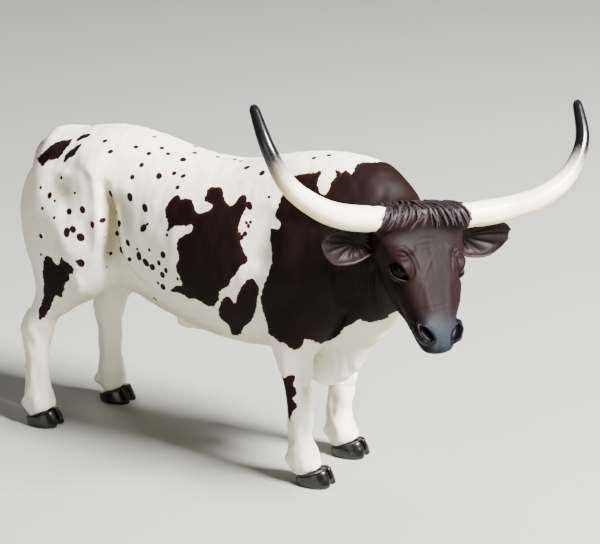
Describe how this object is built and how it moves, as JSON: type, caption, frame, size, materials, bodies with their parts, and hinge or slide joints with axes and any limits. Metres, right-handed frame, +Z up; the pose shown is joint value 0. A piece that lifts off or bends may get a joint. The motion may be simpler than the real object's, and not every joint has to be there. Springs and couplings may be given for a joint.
{
  "type": "toy longhorn bull figurine",
  "caption": "Standing toy bull with wide upswept horns, a turned head and cloven hooves, moulded solid in vinyl and painted with dark patches and spots.",
  "frame": {"origin": "on the floor, under the middle of the box round the whole figure", "axes": "+Z up from the soles; the body faces -Y and lies along Y, the animal's left is +X, and the head is turned to its right, towards -X"},
  "size_m": [0.0772, 0.139, 0.0998],
  "materials": {
    "coat": "vinyl painted warm white, with dark brown patches and spots, satin",
    "dark_coat": "vinyl painted dark brown, lighter on the raised hair, satin",
    "horn": "vinyl painted cream, fading through grey to black at the tips, semi-gloss",
    "hoof": "vinyl painted near black, semi-gloss",
    "eye": "black paint, glossy"
  },
  "bodies": {
    "root": {"torso": "coat", "neck": "dark_coat", "head": "dark_coat", "ear_left": "dark_coat", "ear_right": "dark_coat", "eye_left": "eye", "eye_right": "eye", "horn_left": "horn", "horn_right": "horn", "foreleg_left": "coat", "foreleg_right": "coat", "hindleg_left": "coat", "hindleg_right": "coat", "forehoof_left": "hoof", "forehoof_right": "hoof", "hindhoof_left": "hoof", "hindhoof_right": "hoof", "tail": "coat"}
  },
  "joints": []
}
